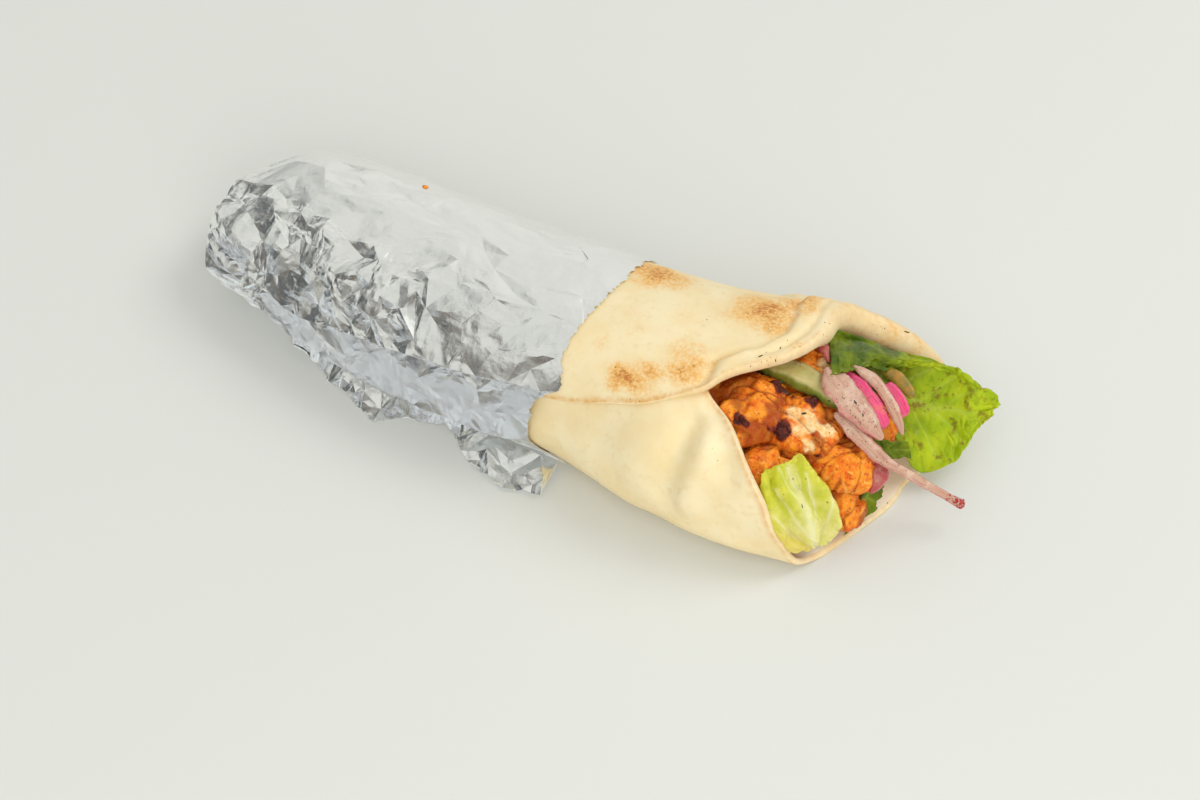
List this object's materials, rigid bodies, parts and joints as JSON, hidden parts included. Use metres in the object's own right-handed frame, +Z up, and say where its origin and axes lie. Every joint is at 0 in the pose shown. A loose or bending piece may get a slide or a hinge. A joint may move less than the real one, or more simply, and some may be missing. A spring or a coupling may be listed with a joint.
{
  "type": "kebab wrap",
  "caption": "Chicken kebab wrap: a rolled flatbread with its tail in crumpled foil and grilled chicken, leaves, pickle, turnip and onion showing in the slanting open mouth.",
  "frame": {"origin": "on the surface it lies on, under the middle of the whole object's box", "axes": "+X from the foil tail to the open mouth, +Y to the back, away from the front flap, +Z up"},
  "size_m": [0.2932, 0.1032, 0.0564],
  "materials": {
    "bread": "matt, cream, with toast marks",
    "foil": "shiny and creased",
    "chicken": "moist, orange marinade with char",
    "pickle": "wet, pale green",
    "onion": "wet, translucent, pale pink",
    "turnip": "wet, bright pink",
    "pepper": "wet, amber",
    "dark_leaf": "glossy green leaf",
    "light_leaf": "glossy pale green leaf"
  },
  "bodies": {
    "root": {"flatbread": "bread", "foil_wrapper": "foil", "chicken_filling": "chicken", "chicken_chunk_top": "chicken", "chicken_chunk_middle": "chicken", "chicken_chunk_right": "chicken", "chicken_chunk_low": "chicken", "chicken_chunk_end": "chicken", "chicken_chunk_front": "chicken", "chicken_chunk_back": "chicken", "chicken_chunk_inner": "chicken", "chicken_chunk_far": "chicken", "pickle_spear": "pickle", "onion_wedge": "onion", "onion_long_strip": "onion", "onion_curved_strip": "onion", "onion_curl": "onion", "onion_pink_bit": "onion", "turnip_stick": "turnip", "turnip_end": "turnip", "pepper_strip": "pepper", "large_leaf": "dark_leaf", "low_leaf": "dark_leaf", "dark_leaf_bit": "dark_leaf", "romaine_leaf": "light_leaf"}
  },
  "joints": []
}
